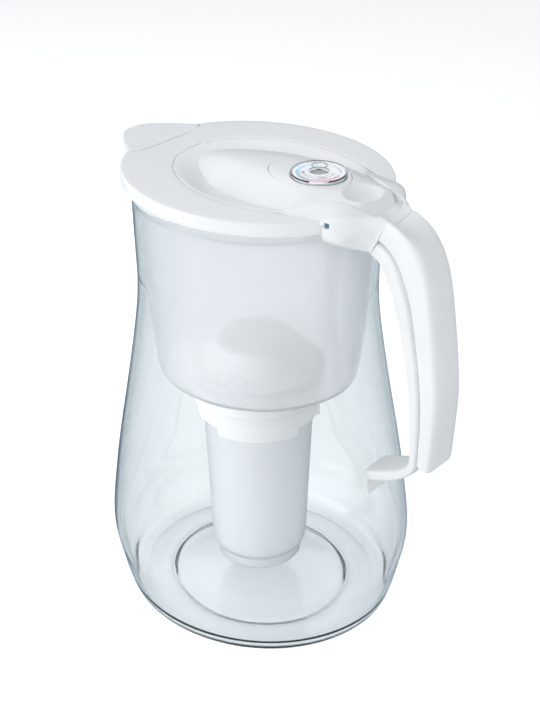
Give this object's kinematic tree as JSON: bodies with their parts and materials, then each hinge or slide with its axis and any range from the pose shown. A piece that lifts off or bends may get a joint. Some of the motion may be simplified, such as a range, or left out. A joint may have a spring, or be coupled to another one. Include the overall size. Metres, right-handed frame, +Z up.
{
  "type": "water filter pitcher",
  "caption": "Clear oval water filter pitcher with a hinged filling flap, spout cover, usage dial, lift-out funnel, filter cartridge and a hooked side handle.",
  "frame": {"origin": "centre of the jug's oval foot, on the surface it stands on", "axes": "+Z up, +X towards the handle, -X towards the pouring lip, Y across"},
  "size_m": [0.2421, 0.1812, 0.2983],
  "materials": {
    "clear_tank": "clear gloss",
    "frosted_clear": "clear, slightly hazy",
    "white_handle": "satin",
    "white_lid": "satin",
    "cartridge_plastic": "satin",
    "cartridge_white": "matte",
    "seal_rubber": "matte",
    "carbon_media": "granular",
    "pin_steel": "brushed",
    "scale_plastic": "printed",
    "clear_lens": "clear gloss",
    "dial_plastic": "gloss",
    "knob_plastic": "satin"
  },
  "bodies": {
    "jug": {"tank": "clear_tank", "handle_saddle": "white_handle", "handle_grip": "white_handle", "handle_strip": "white_handle"},
    "funnel": {"funnel": "frosted_clear", "socket_ring": "frosted_clear"},
    "lid": {"lid_plate": "white_lid", "lid_fork": "white_lid", "flap_pin": "pin_steel", "spout_pin": "pin_steel"},
    "spout_flap": {"spout_cover": "white_lid"},
    "flap": {"flap_panel": "white_lid", "flap_crest": "white_lid", "dial_bezel": "white_lid", "counter_plate": "scale_plastic", "click_spring": "scale_plastic", "counter_lens": "clear_lens"},
    "dial": {"dial_disc": "dial_plastic", "dial_knob": "knob_plastic"},
    "cartridge": {"cartridge_shell": "cartridge_plastic", "cartridge_cap": "cartridge_white", "cartridge_base": "cartridge_plastic", "cartridge_seal": "seal_rubber", "inlet_screen": "cartridge_white", "filter_media": "carbon_media"}
  },
  "joints": [
    {"name": "funnel_lift", "type": "slide", "parent": "jug", "child": "funnel", "axis": [0, 0, 1], "range_m": [0, 0.27]},
    {"name": "lid_lift", "type": "slide", "parent": "funnel", "child": "lid", "axis": [0, 0, 1], "range_m": [0, 0.3]},
    {"name": "cartridge_lift", "type": "slide", "parent": "funnel", "child": "cartridge", "axis": [0, 0, 1], "range_m": [0, 0.27]},
    {"name": "flap_hinge", "type": "hinge", "parent": "lid", "child": "flap", "pos_m": [-0.04975, 0, 0.28615], "axis": [0, -1, 0], "range_deg": [0, 90]},
    {"name": "spout_hinge", "type": "hinge", "parent": "lid", "child": "spout_flap", "pos_m": [-0.0746, 0, 0.2864], "axis": [0, 1, 0], "range_deg": [0, 34]},
    {"name": "dial_turn", "type": "hinge", "parent": "flap", "child": "dial", "pos_m": [0.046, 0, 0.297], "axis": [0, 0, 1], "continuous": true}
  ],
  "couplings": [
    {"joint": "cartridge_lift", "follows": "lid_lift", "ratio": 0.9}
  ]
}
